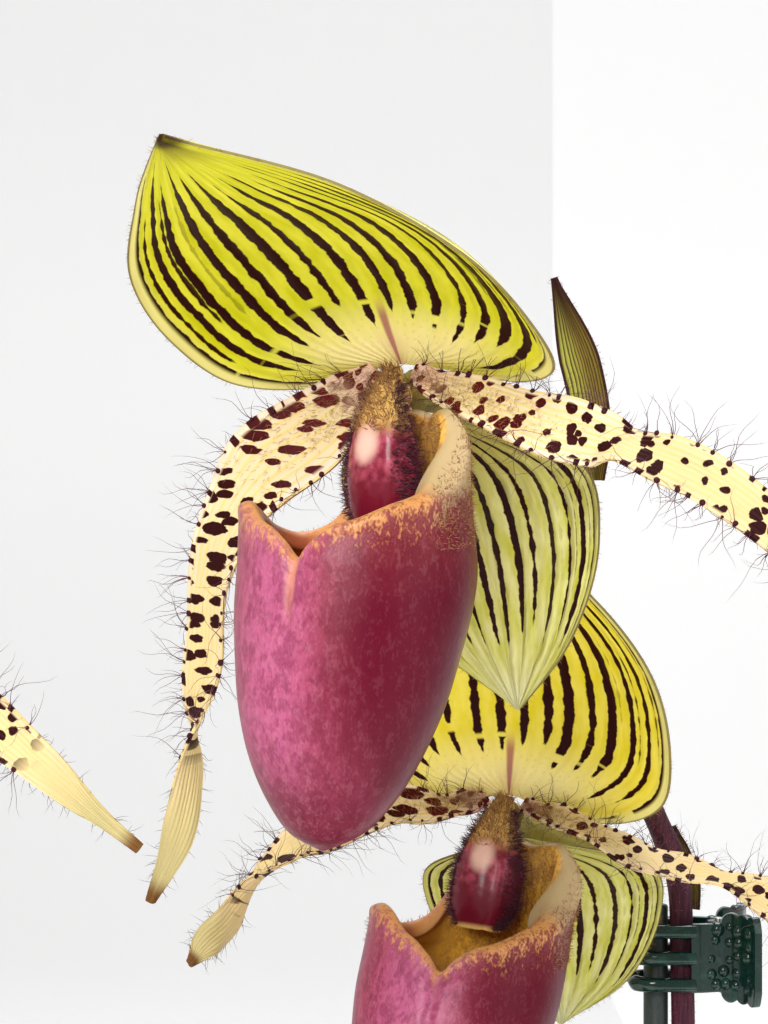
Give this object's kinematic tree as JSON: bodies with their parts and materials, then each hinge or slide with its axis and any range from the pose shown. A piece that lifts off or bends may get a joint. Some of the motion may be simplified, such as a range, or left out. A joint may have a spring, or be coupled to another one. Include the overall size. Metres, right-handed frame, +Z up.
{
  "type": "potted slipper orchid",
  "caption": "Potted multifloral slipper orchid with strap leaves, tall flowering stems, striped hooded sepals, spotted drooping petals, pouched lips, and a sprung stake clip.",
  "frame": {"origin": "middle of the pot's flat foot, on the surface it stands on", "axes": "+Z up the plant, -Y the way the blooms face, +X to the right as one faces them"},
  "size_m": [0.373, 0.3239, 0.4411],
  "materials": {
    "clay": "matte",
    "bark": "matte",
    "leaf": "satin",
    "stem": "matte",
    "bract": "satin",
    "sepal": "satin",
    "petal": "satin",
    "lip": "satin",
    "column": "satin",
    "stake": "satin",
    "clip": "gloss",
    "steel": "satin"
  },
  "bodies": {
    "plant": {"pot": "clay", "potting_mix": "bark", "stake": "stake", "clip_near_jaw": "clip", "clip_pin": "steel", "clip_spring": "steel", "flowering_stem_a": "stem", "flowering_stem_b": "stem", "bract_1": "bract", "bract_2": "bract", "bract_3": "bract", "leaf_a_back_outer": "leaf", "leaf_a_back_inner": "leaf", "leaf_a_front_outer": "leaf", "leaf_a_front_inner": "leaf", "leaf_b_back_outer": "leaf", "leaf_b_back_inner": "leaf", "leaf_b_front_outer": "leaf", "leaf_b_front_inner": "leaf", "bloom_1_dorsal_sepal": "sepal", "bloom_1_synsepal": "sepal", "bloom_1_left_petal": "petal", "bloom_1_right_petal": "petal", "bloom_1_lip": "lip", "bloom_1_column": "column", "bloom_2_dorsal_sepal": "sepal", "bloom_2_synsepal": "sepal", "bloom_2_left_petal": "petal", "bloom_2_right_petal": "petal", "bloom_2_lip": "lip", "bloom_2_column": "column", "bloom_3_dorsal_sepal": "sepal", "bloom_3_synsepal": "sepal", "bloom_3_left_petal": "petal", "bloom_3_right_petal": "petal", "bloom_3_lip": "lip", "bloom_3_column": "column"},
    "clip_jaw": {"clip_far_jaw": "clip"}
  },
  "joints": [
    {"name": "clip_hinge", "type": "hinge", "parent": "plant", "child": "clip_jaw", "pos_m": [0.0495, 0.031, 0.328], "axis": [0, 0, -1], "range_deg": [0, 32], "stiffness_Nm_per_rad": 0.02, "springref_deg": -17.19}
  ]
}
